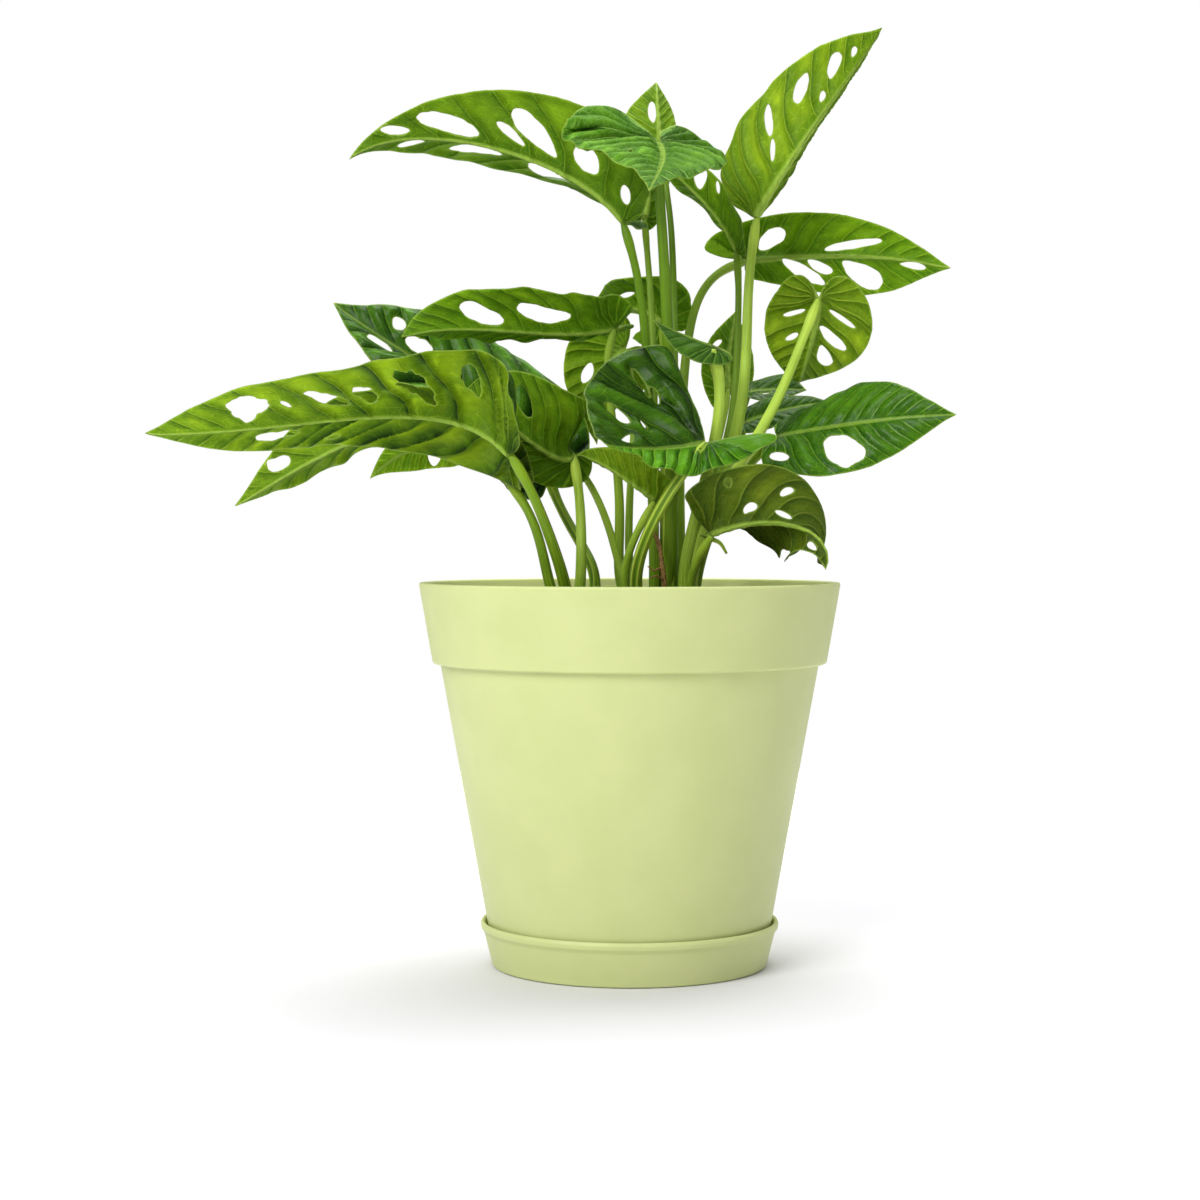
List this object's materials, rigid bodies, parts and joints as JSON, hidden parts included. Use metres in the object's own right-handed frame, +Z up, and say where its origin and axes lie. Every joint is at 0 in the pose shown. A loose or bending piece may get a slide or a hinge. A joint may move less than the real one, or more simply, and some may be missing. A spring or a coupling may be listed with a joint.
{
  "type": "potted swiss cheese vine",
  "caption": "Monstera adansonii with pierced drooping leaves on long stalks, in a tapered plastic pot with a deep collar, standing in its round saucer.",
  "frame": {"origin": "centre of the saucer's flat underside, where it meets the surface it stands on", "axes": "+Z up along the pot's axis, front of the plant towards -Y, +X to the right seen from the front"},
  "size_m": [0.2784, 0.1648, 0.326],
  "materials": {
    "pot_plastic": "smooth moulded plastic with a soft sheen, pale yellow-green",
    "soil_mix": "rough damp potting mix",
    "stalk_green": "smooth living stalk, light green",
    "blade_green": "semi-gloss living leaf, darker above than below",
    "dry_brown": "dry brown aerial root"
  },
  "bodies": {
    "root": {"saucer": "pot_plastic", "pot": "pot_plastic", "soil": "soil_mix", "stems_left": "stalk_green", "stems_centre": "stalk_green", "stems_right": "stalk_green", "aerial_root": "dry_brown", "leaf_upper_left": "blade_green", "leaf_top_front": "blade_green", "leaf_top_right": "blade_green", "leaf_right_upper": "blade_green", "leaf_right_heart": "blade_green", "leaf_right_low": "blade_green", "leaf_right_drooping": "blade_green", "leaf_centre_front": "blade_green", "leaf_centre_under": "blade_green", "leaf_left_inner": "blade_green", "leaf_left_dark": "blade_green", "leaf_left_long": "blade_green", "leaf_left_lower": "blade_green", "leaf_left_small": "blade_green", "leaf_left_middle": "blade_green", "leaf_centre_behind": "blade_green", "leaf_back_centre": "blade_green", "leaf_top_back": "blade_green", "leaf_top_middle": "blade_green", "leaf_centre_small": "blade_green", "leaf_back_right": "blade_green", "leaf_back_low": "blade_green", "leaf_back_lower": "blade_green", "leaf_top_small": "blade_green"}
  },
  "joints": []
}
